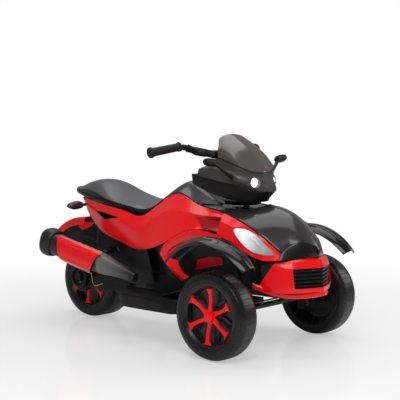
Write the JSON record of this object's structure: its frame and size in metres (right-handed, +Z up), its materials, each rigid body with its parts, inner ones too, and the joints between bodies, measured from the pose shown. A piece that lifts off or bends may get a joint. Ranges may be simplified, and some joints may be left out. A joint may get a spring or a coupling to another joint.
{
  "type": "three-wheel electric ride-on",
  "caption": "Child's electric ride-on with two steered front wheels and one driven rear wheel, moulded body panels, saddle, handlebar pod with windshield, footrests and side exhaust.",
  "frame": {"origin": "on the ground, midway along and across the vehicle", "axes": "+Z up, front towards -Y, the rider's right towards -X"},
  "size_m": [0.677, 1.3113, 0.7459],
  "materials": {
    "red_gloss": "glossy red moulded plastic",
    "black_plastic": "matt black moulded plastic",
    "black_gloss": "glossy black moulded plastic",
    "grey_gloss": "glossy dark grey moulded plastic",
    "grey_satin": "satin dark grey moulded plastic",
    "tyre": "charcoal moulded tyre",
    "clear_lens": "clear lens",
    "smoked_lens": "smoked lens",
    "black_steel": "black painted steel",
    "axle_steel": "plated steel",
    "wire": "pale yellow wire sleeve",
    "battery_case": "grey battery case",
    "grip": "black textured grip"
  },
  "bodies": {
    "chassis": {"right_side_panel": "red_gloss", "right_headlight_lens": "clear_lens", "right_tail_panel": "red_gloss", "right_arch_panel": "red_gloss", "right_side_housing": "black_plastic", "right_footrest": "black_plastic", "right_front_mudguard": "black_gloss", "right_turn_signal": "smoked_lens", "left_side_panel": "red_gloss", "left_headlight_lens": "clear_lens", "left_tail_panel": "red_gloss", "left_arch_panel": "red_gloss", "left_side_housing": "black_plastic", "left_footrest": "black_plastic", "left_front_mudguard": "black_gloss", "left_turn_signal": "smoked_lens", "front_beam": "black_steel", "main_frame": "black_steel", "swingarm": "black_plastic", "gearbox_housing": "black_plastic", "rear_axle": "axle_steel", "motor_cable": "wire", "hood": "grey_gloss", "knee_cover": "black_gloss", "nose_cap": "black_gloss", "front_bumper": "red_gloss", "grille": "black_plastic", "body_tub": "black_plastic", "battery": "battery_case", "seat_base": "black_plastic", "seat": "grey_satin", "rear_mudguard": "black_plastic", "mudguard_cap": "red_gloss", "muffler_can": "black_plastic", "heat_shield": "red_gloss"},
    "steering": {"steering_column": "black_steel", "handlebar": "black_plastic", "right_grip": "grip", "left_grip": "grip", "pod_base": "black_plastic", "pod_shell": "grey_satin", "windshield": "smoked_lens", "right_pod_lamp": "clear_lens", "left_pod_lamp": "clear_lens", "right_mirror": "black_plastic", "left_mirror": "black_plastic"},
    "right_knuckle": {"right_knuckle": "black_steel"},
    "left_knuckle": {"left_knuckle": "black_steel"},
    "tie_rod": {"tie_rod": "black_steel"},
    "front_right_wheel": {"front_right_tyre": "tyre", "front_right_rim": "black_gloss", "front_right_spoke_trim": "red_gloss"},
    "front_left_wheel": {"front_left_tyre": "tyre", "front_left_rim": "black_gloss", "front_left_spoke_trim": "red_gloss"},
    "rear_wheel": {"rear_tyre": "tyre", "rear_rim": "black_gloss", "rear_spoke_trim": "red_gloss"},
    "pedal": {"accelerator_pedal": "black_plastic"},
    "turn_rocker": {"turn_rocker": "black_gloss"}
  },
  "joints": [
    {"name": "steering", "type": "hinge", "parent": "chassis", "child": "steering", "pos_m": [0, -0.418, 0.20106], "axis": [0, 0.342, 0.9397], "range_deg": [-20, 20]},
    {"name": "right_kingpin", "type": "hinge", "parent": "chassis", "child": "right_knuckle", "pos_m": [-0.2225, -0.418, 0.14906], "axis": [0, 0, 1], "range_deg": [-20, 20]},
    {"name": "left_kingpin", "type": "hinge", "parent": "chassis", "child": "left_knuckle", "pos_m": [0.2225, -0.418, 0.14906], "axis": [0, 0, 1], "range_deg": [-20, 20]},
    {"name": "tie_rod_slide", "type": "slide", "parent": "chassis", "child": "tie_rod", "axis": [1, 0, 0], "range_m": [-0.0245, 0.0245]},
    {"name": "front_right_spin", "type": "hinge", "parent": "right_knuckle", "child": "front_right_wheel", "pos_m": [-0.2905, -0.418, 0.14906], "axis": [1, 0, 0], "continuous": true},
    {"name": "front_left_spin", "type": "hinge", "parent": "left_knuckle", "child": "front_left_wheel", "pos_m": [0.2905, -0.418, 0.14906], "axis": [1, 0, 0], "continuous": true},
    {"name": "rear_spin", "type": "hinge", "parent": "chassis", "child": "rear_wheel", "pos_m": [0, 0.459, 0.14906], "axis": [1, 0, 0], "continuous": true},
    {"name": "pedal_press", "type": "hinge", "parent": "chassis", "child": "pedal", "pos_m": [-0.23, -0.146, 0.18166], "axis": [1, 0, 0], "range_deg": [0, 10], "stiffness_Nm_per_rad": 0.8, "springref_deg": -11.46},
    {"name": "rocker_tilt", "type": "hinge", "parent": "steering", "child": "turn_rocker", "pos_m": [0.035, -0.187, 0.61706], "axis": [1, 0, 0], "range_deg": [-8, 8]}
  ],
  "couplings": [
    {"joint": "right_kingpin", "follows": "steering", "ratio": 1},
    {"joint": "left_kingpin", "follows": "steering", "ratio": 1},
    {"joint": "tie_rod_slide", "follows": "steering", "m_per_rad": 0.07}
  ]
}
